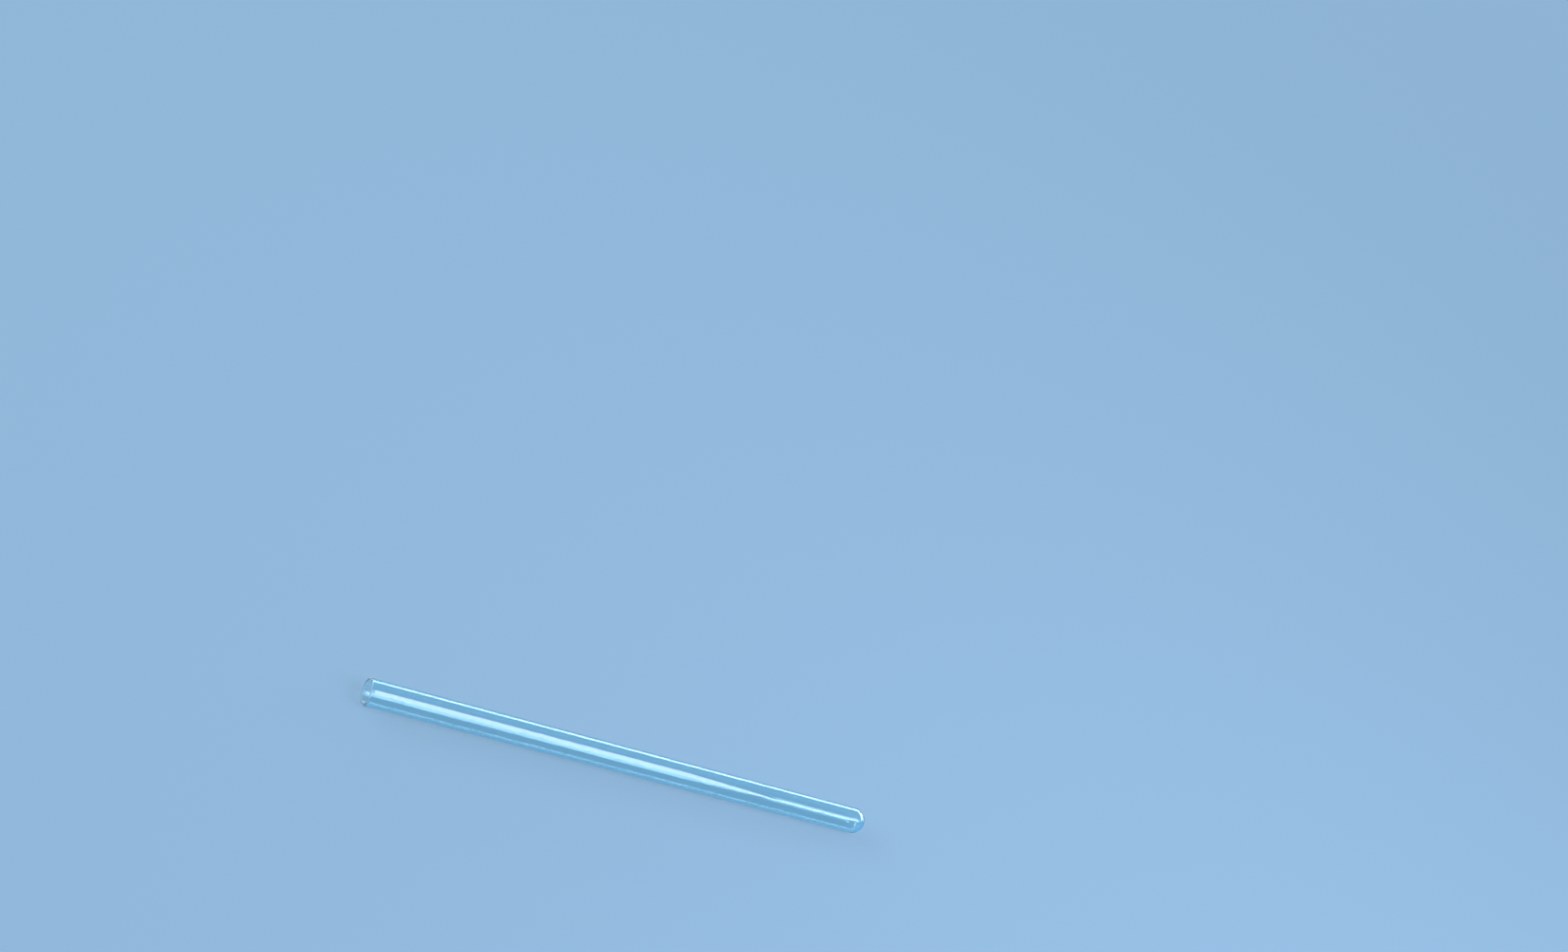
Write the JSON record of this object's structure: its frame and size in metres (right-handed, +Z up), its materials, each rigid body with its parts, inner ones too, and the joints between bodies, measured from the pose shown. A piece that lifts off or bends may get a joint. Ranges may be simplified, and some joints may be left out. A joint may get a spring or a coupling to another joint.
{
  "type": "nmr tube",
  "caption": "Slim clear glass sample tube for NMR work, straight, with an open flame-rounded mouth and a round closed end, lying on its side.",
  "frame": {"origin": "on the resting surface, straight below the middle of the tube's length", "axes": "+X along the tube's axis, from the open mouth to the closed end; +Z up"},
  "size_m": [0.1035, 0.005, 0.005],
  "materials": {
    "clear_glass": "clear colourless drawn borosilicate glass, fire polished"
  },
  "bodies": {
    "root": {"glass_tube": "clear_glass"}
  },
  "joints": []
}
